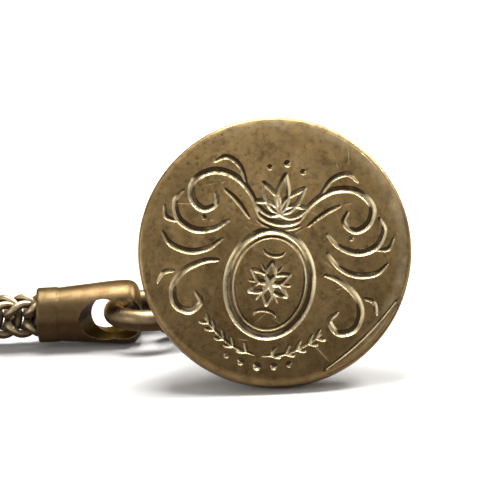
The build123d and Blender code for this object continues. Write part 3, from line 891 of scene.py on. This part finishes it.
class Paint:
    """One material's nodes. A value is a socket, a number or a colour."""

    def __init__(self, name):
        self.material = bpy.data.materials.new(name)
        self.material.use_nodes = True
        self.nodes = self.material.node_tree.nodes
        self.links = self.material.node_tree.links
        self.shader = self.nodes["Principled BSDF"]
        self.places = self.nodes.new("ShaderNodeTexCoord").outputs["Object"]

    def feed(self, socket, value):
        if hasattr(value, "is_output"):
            self.links.new(value, socket)
        elif isinstance(value, (int, float)):
            socket.default_value = value
        else:
            socket.default_value = (*value, 1)

    def make(self, kind, inputs):
        node = self.nodes.new("ShaderNode" + kind)
        for key, value in inputs.items():
            self.feed(node.inputs[key], value)
        return node

    def noise(self, size, detail, rough, distortion=0.0):
        return self.make("TexNoise", {"Scale": size, "Detail": detail, "Roughness": rough,
                                      "Distortion": distortion, "Vector": self.places}).outputs["Fac"]

    def span(self, value, low, high, start=0.0, end=1.0):
        """Carries the value's way from low to high onto the way from start to end."""
        return self.make("MapRange", {"Value": value, "From Min": low, "From Max": high,
                                      "To Min": start, "To Max": end}).outputs["Result"]

    def cloud(self, size, detail, low, high, start=0.0, end=1.0, rough=0.6, distortion=0.0):
        """Noise whose way from low to high goes from start to end."""
        return self.span(self.noise(size, detail, rough, distortion), low, high, start, end)

    def mix(self, factor, a, b):
        node = self.nodes.new("ShaderNodeMix")
        node.data_type = "RGBA"
        self.feed(node.inputs["Factor"], factor)
        self.feed(node.inputs["A"], a)
        self.feed(node.inputs["B"], b)
        return node.outputs["Result"]

    def clamped(self, operation, a, b):
        node = self.make("Math", {0: a, 1: b})
        node.operation = operation
        node.use_clamp = True
        return node.outputs[0]

    def times(self, a, b):
        return self.clamped("MULTIPLY", a, b)

    def laid(self, base, colour, where, strength):
        """The base with the colour over it."""
        return self.mix(self.times(where, strength), base, colour)

    def most(self, *values):
        """The greatest of the values."""
        result = values[0]
        for value in values[1:]:
            result = self.clamped("MAXIMUM", result, value)
        return result

    def layer(self, key):
        """A mesh attribute that seal_matrix_mesh wrote."""
        node = self.make("Attribute", {})
        node.attribute_name = key
        return node.outputs["Fac"]

    def height_of(self, vector):
        return self.make("SeparateXYZ", {0: vector}).outputs["Z"]

    def normal(self):
        return self.make("NewGeometry", {}).outputs["Normal"]


def mottled(paint, light, deep, patina):
    """Two tones of brass in spots, with fine patina and reddish patches."""
    base = paint.mix(paint.cloud(MOTTLE_NOISE, 6, 0.36, 0.66, rough=0.68, distortion=0.4), deep, light)
    base = paint.laid(base, patina, paint.cloud(PATINA_NOISE, 5, 0.50, 0.68, rough=0.7), 0.5)
    return paint.laid(base, BRASS_REDDISH, paint.cloud(BLUSH_NOISE, 3, 0.50, 0.72), 0.45)


def underside_shade(paint, facing_down):
    """Painted shade: as far as the piece faces down, and in clouds."""
    return paint.times(facing_down, paint.cloud(SHADE_NOISE, 4, 0.2, 0.5, 0.8, 1.0))


def plate_finish(paint, base, patina):
    """Colour and dullness of the engraved plate, by how it was cut, pitted and rubbed, with painted shade where it
    faces down, towards its foot and on the upper sides of its grooves.
    """
    # Painted shade: darker, duller brown where the plate faces down, and towards its foot
    facing_down = paint.span(paint.height_of(paint.normal()), 0.40, 0.0)
    foot = paint.span(paint.height_of(paint.places), PLATE_SHADE_TOP, PLATE_SHADE_FOOT)
    under = paint.most(underside_shade(paint, facing_down), foot)
    base = paint.laid(base, BRASS_PAINTED_SHADE, under, 0.70)
    base = paint.laid(base, patina, paint.cloud(GRAIN_NOISE, 4, 0.50, 0.66, rough=0.8), 0.32)
    band = paint.times(paint.layer("band"), paint.cloud(BAND_NOISE, 5, 0.38, 0.60, 0.25, 1.0, rough=0.75))
    base = paint.laid(base, BRASS_BARE, band, 0.38)
    # Groove walls are bare; their depths and the pits hold dirt, and their lee is darkened with painted shadow
    cut = paint.layer("cut")
    walls = paint.times(paint.span(cut, 0.05, 0.25), paint.cloud(WALL_NOISE, 3, 0.30, 0.55, 0.3, 1.0))
    base = paint.mix(walls, base, BRASS_BARE)
    depths = paint.times(paint.span(cut, 0.55, 0.95), paint.cloud(DEPTH_NOISE, 4, 0.35, 0.62, rough=0.7))
    base = paint.laid(base, patina, depths, 0.85)
    # Painted shadow: the upper side of each groove darkened near black and dulled
    overhang = paint.span(paint.layer("overhang"), 0.08, 0.55)
    lee = paint.times(overhang, paint.cloud(LEE_NOISE, 4, 0.25, 0.5, 0.7, 1.0))
    base = paint.laid(base, GROOVE_SHADOW, lee, 0.97)
    pits = paint.layer("pits")
    base = paint.laid(base, patina, pits, 0.8)
    dull = paint.most(paint.times(lee, 0.95), paint.times(depths, 0.7), paint.times(pits, 0.6),
                      paint.times(facing_down, 0.8))
    return base, dull


def cast_finish(paint, base):
    """Colour and dullness of the other pieces: painted shade below, dirt in hollows, edges rubbed bare by
    handling.
    """
    normal = paint.normal()
    # Painted shade: darker, duller brown as far as the piece faces down
    under = underside_shade(paint, paint.span(paint.height_of(normal), 0.55, -0.08))
    base = paint.laid(base, BRASS_PAINTED_SHADE, under, 0.97)
    hollow = paint.make("AmbientOcclusion", {"Distance": HOLLOW_REACH})
    hollow.samples = 8
    shade = paint.span(hollow.outputs["AO"], 0.35, 0.9, 1.0, 0.0)
    base = paint.laid(base, BRASS_HOLLOW, shade, 0.85)
    rounding = paint.make("Bevel", {"Radius": EDGE_REACH})
    rounding.samples = 6
    agree = paint.make("VectorMath", {0: rounding.outputs["Normal"], 1: normal})
    agree.operation = "DOT_PRODUCT"
    edges = paint.span(agree.outputs["Value"], 0.985, 0.90)
    base = paint.mix(paint.times(edges, paint.span(shade, 0.0, 0.5, 0.6, 0.0)), base, BRASS_RUBBED)
    return base, paint.most(paint.times(under, 0.85), paint.times(shade, 0.8))


def fine_relief(paint):
    """Grain and hairline scratches as a bump."""
    lines = paint.make("TexWave", {"Scale": HAIRLINE_WAVES, "Distortion": 9.0, "Detail": 3.0,
                                   "Detail Scale": 1.5, "Vector": paint.places})
    lines.wave_type = "BANDS"
    hairlines = paint.times(paint.span(lines.outputs["Fac"], 0.0, 0.06, 1.0, 0.0), 0.4)
    grain = paint.times(paint.noise(BUMP_NOISE, 6, 0.75), 0.6)
    height = paint.clamped("ADD", grain, hairlines)
    bump = paint.make("Bump", {"Strength": BUMP_STRENGTH, "Distance": BUMP_DEPTH, "Height": height})
    return bump.outputs["Normal"]


def metal_material(name, tones, engraved=False):
    """Aged metal: where thick dirt or painted shade hides it, it is dull and no longer metallic."""
    light, deep, patina, roughness = tones
    paint = Paint(name)
    base = mottled(paint, light, deep, patina)
    base, dull = plate_finish(paint, base, patina) if engraved else cast_finish(paint, base)
    rough = paint.cloud(GLOSS_NOISE, 5, 0.3, 0.7, roughness - 0.10, roughness + 0.13, rough=0.7)
    look = {"Base Color": base, "Metallic": paint.span(dull, 0.0, 1.0, 1.0, 0.0),
            "Roughness": paint.most(rough, paint.times(dull, 0.8)), "Normal": fine_relief(paint),
            "Specular IOR Level": EDGE_GLOSS, "Specular Tint": EDGE_TINT}
    for key, value in look.items():
        paint.feed(paint.shader.inputs[key], value)
    return paint.material


def build_seal(cast):
    seal_world = seal_matrix_world()
    behind = seal_world @ Matrix.Rotation(math.pi, 4, "X")
    face = metal_material("face_brass", FACE_BRASS, engraved=True)
    matrix = place(seal_matrix_mesh("seal_face_engraved"), seal_world)
    dress(matrix, "seal_matrix", "seal", face)
    collet = place(collet_mesh("seal_collet_turned"), behind)
    dress(collet, "seal_collet", "seal", cast)
    handle = place(handle_mesh("seal_handle_loop"), behind)
    dress(handle, "seal_handle", "seal", cast)


def build_wire_pieces(wire):
    """The oval link, turned as its box tells, and the two rings."""
    low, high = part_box("oval_link")
    swing = math.atan2(high.y - low.y - OVAL_WIRE, high.x - low.x - OVAL_WIRE)
    oval = tube_mesh("oval_link_wire", oval_points(), OVAL_WIRE / 2 - WIRE_EASE, 40)
    place(oval, Matrix.Translation((low + high) / 2) @ Matrix.Rotation(swing, 4, "Z"))
    dress(oval, "oval_link", "oval_link", wire)
    for node in ("seal_ring", "clasp_ring"):
        low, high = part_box(node)
        ring = tube_mesh(node + "_wire", torus_points(RING_RADIUS, 128), RING_WIRE / 2 - WIRE_EASE, 48)
        dress(place(ring, Matrix.Translation((low + high) / 2)), node, node, wire)


def build_caps(brass):
    shape = end_cap_mesh("cap_shape")
    mirror = Matrix.Scale(-1, 4, (1, 0, 0))
    for node, body, joint, flip in (("seal_end_cap", "seal_cap", "cap_swing", Matrix.Identity(4)),
                                    ("watch_end_cap", "watch_cap", "clasp_ring_swing", mirror)):
        cap = bpy.data.objects.new(node + "_worn", shape.data.copy())
        bpy.context.scene.collection.objects.link(cap)
        dress(place(cap, Matrix.Translation(joint_place(joint)) @ flip), node, body, brass)
    bpy.data.objects.remove(shape)


def build_chain():
    brass = metal_material("chain_brass", CHAIN_BRASS)
    bodies = ["seal_cap"] + [f"link_{k:02d}" for k in range(2, LINK_COUNT)] + ["watch_cap"]
    first = joint_place("chain_flex_01")
    pitch = joint_place("chain_flex_02") - first
    for k, body in enumerate(bodies, 1):
        node = f"chain_link_{k:02d}"
        points = link_points(LAST_LINK_EXTRA if k == LINK_COUNT else 0.0)
        link = tube_mesh(node + "_wire", points, LINK_WIRE / 2, 20)
        dress(place(link, Matrix.Translation(first + pitch * (k - 1))), node, body, brass)


def build_clasp(brass):
    swivel = place(swivel_mesh("swivel_eye_worn"), Matrix.Translation(joint_place("swivel_swing")))
    dress(swivel, "swivel_eye", "swivel", brass)
    hook = from_cad("hook_body", "hook_body_worn", HOOK_GRAIN, 6)
    dress(hook, "hook_body", "hook", brass)
    gate = from_cad("hook_gate", "hook_gate_worn", GATE_GRAIN, 3)
    dress(gate, "hook_gate", "gate", brass)


def paint_cad_piece(node, material):
    holder = frame["nodes"][node]
    holder.data.materials.clear()
    holder.data.materials.append(material)


def build_pieces():
    cap_brass = metal_material("cap_brass", CAP_BRASS)
    clasp_brass = metal_material("clasp_brass", CLASP_BRASS)
    build_seal(metal_material("cast_brass", CAST_BRASS))
    build_wire_pieces(metal_material("wire_brass", WIRE_BRASS))
    build_caps(cap_brass)
    build_chain()
    build_clasp(clasp_brass)
    paint_cad_piece("seal_cap_pin", cap_brass)
    paint_cad_piece("watch_cap_pin", cap_brass)
    paint_cad_piece("gate_pin", clasp_brass)
    paint_cad_piece("gate_spring", metal_material("spring_steel", SPRING_STEEL))


def white_to_camera(tree, lit, white, output):
    """Shows plain white to the camera and in reflections, and the lit colour to everything else."""
    path = tree.nodes.new("ShaderNodeLightPath")
    seen = path.outputs["Is Camera Ray"]
    for ray in ("Is Glossy Ray", "Is Transmission Ray"):
        either = tree.nodes.new("ShaderNodeMath")
        either.operation = "MAXIMUM"
        tree.links.new(seen, either.inputs[0])
        tree.links.new(path.outputs[ray], either.inputs[1])
        seen = either.outputs[0]
    mixer = tree.nodes.new("ShaderNodeMixShader")
    tree.links.new(seen, mixer.inputs["Fac"])
    tree.links.new(lit, mixer.inputs[1])
    tree.links.new(white, mixer.inputs[2])
    tree.links.new(mixer.outputs[0], output)


def room_colour(tree):
    """White backdrop near the horizon, and a dimmer room above it that the metal mirrors."""
    way = tree.nodes.new("ShaderNodeTexCoord")
    parts = tree.nodes.new("ShaderNodeSeparateXYZ")
    tree.links.new(way.outputs["Generated"], parts.inputs[0])
    ramp = tree.nodes.new("ShaderNodeValToRGB")
    steps = ramp.color_ramp.elements
    steps[0].position = ROOM_LEVELS[0][0]
    steps[1].position = ROOM_LEVELS[1][0]
    for height, _ in ROOM_LEVELS[2:]:
        steps.new(height)
    for step, (_, level) in zip(steps, ROOM_LEVELS):
        step.color = (*(level * tint for tint in ROOM_TINT), 1)
    tree.links.new(parts.outputs["Z"], ramp.inputs["Fac"])
    return ramp.outputs["Color"]


def build_floor():
    bpy.ops.mesh.primitive_plane_add(size=FLOOR_SIZE, location=FLOOR_PLACE)
    floor = bpy.context.object
    floor.name = "floor"
    material = bpy.data.materials.new("floor_paper")
    material.use_nodes = True
    shader = material.node_tree.nodes["Principled BSDF"]
    shader.inputs["Base Color"].default_value = FLOOR_COLOUR
    shader.inputs["Roughness"].default_value = FLOOR_ROUGHNESS
    floor.data.materials.append(material)


def build_world():
    world = bpy.data.worlds.new("studio")
    bpy.context.scene.world = world
    world.use_nodes = True
    tree = world.node_tree
    lit = tree.nodes["Background"]
    lit.inputs["Color"].default_value = WORLD_COLOUR
    lit.inputs["Strength"].default_value = WORLD_STRENGTH
    shown = tree.nodes.new("ShaderNodeBackground")
    tree.links.new(room_colour(tree), shown.inputs["Color"])
    shown.inputs["Strength"].default_value = 1.0
    white_to_camera(tree, lit.outputs[0], shown.outputs[0], tree.nodes["World Output"].inputs["Surface"])


def area_light(name, place_at, aim, size, power):
    data = bpy.data.lights.new(name, "AREA")
    data.size = size
    data.energy = power
    light = bpy.data.objects.new(name, data)
    light.location = place_at
    light.rotation_euler = (Vector(aim) - Vector(place_at)).to_track_quat("-Z", "Y").to_euler()
    bpy.context.scene.collection.objects.link(light)


def build_camera():
    face_centre = Vector(MOUNTS["seal_face"]["pos_m"])
    view = Vector((0, math.cos(CAMERA_ELEVATION), -math.sin(CAMERA_ELEVATION)))
    right = Vector((1, 0, 0))
    up = right.cross(view)
    turn = Matrix.Rotation(-CAMERA_ROLL, 4, view)
    right, up = turn @ right, turn @ up
    side_px = DISC_CENTRE_PX[0] - PHOTO_SIZE / 2
    rise_px = PHOTO_SIZE / 2 - DISC_CENTRE_PX[1]
    pixel = FACE_MM_PER_PX * MM
    aim = face_centre - (right * side_px + up * rise_px) * pixel
    data = bpy.data.cameras.new("camera")
    data.sensor_width = SENSOR_WIDTH_MM
    data.lens = SENSOR_WIDTH_MM * CAMERA_DISTANCE / (PHOTO_SIZE * pixel)
    data.clip_start = CAMERA_CLIP
    camera = bpy.data.objects.new("camera", data)
    basis = Matrix((right, up, -view)).transposed().to_4x4()
    camera.matrix_world = Matrix.Translation(aim - view * CAMERA_DISTANCE) @ basis
    bpy.context.scene.collection.objects.link(camera)
    bpy.context.scene.camera = camera


build_pieces()
build_floor()
build_world()
for lamp in LAMPS:
    area_light(*lamp)
build_camera()
bpy.context.scene.view_settings.view_transform = "Standard"
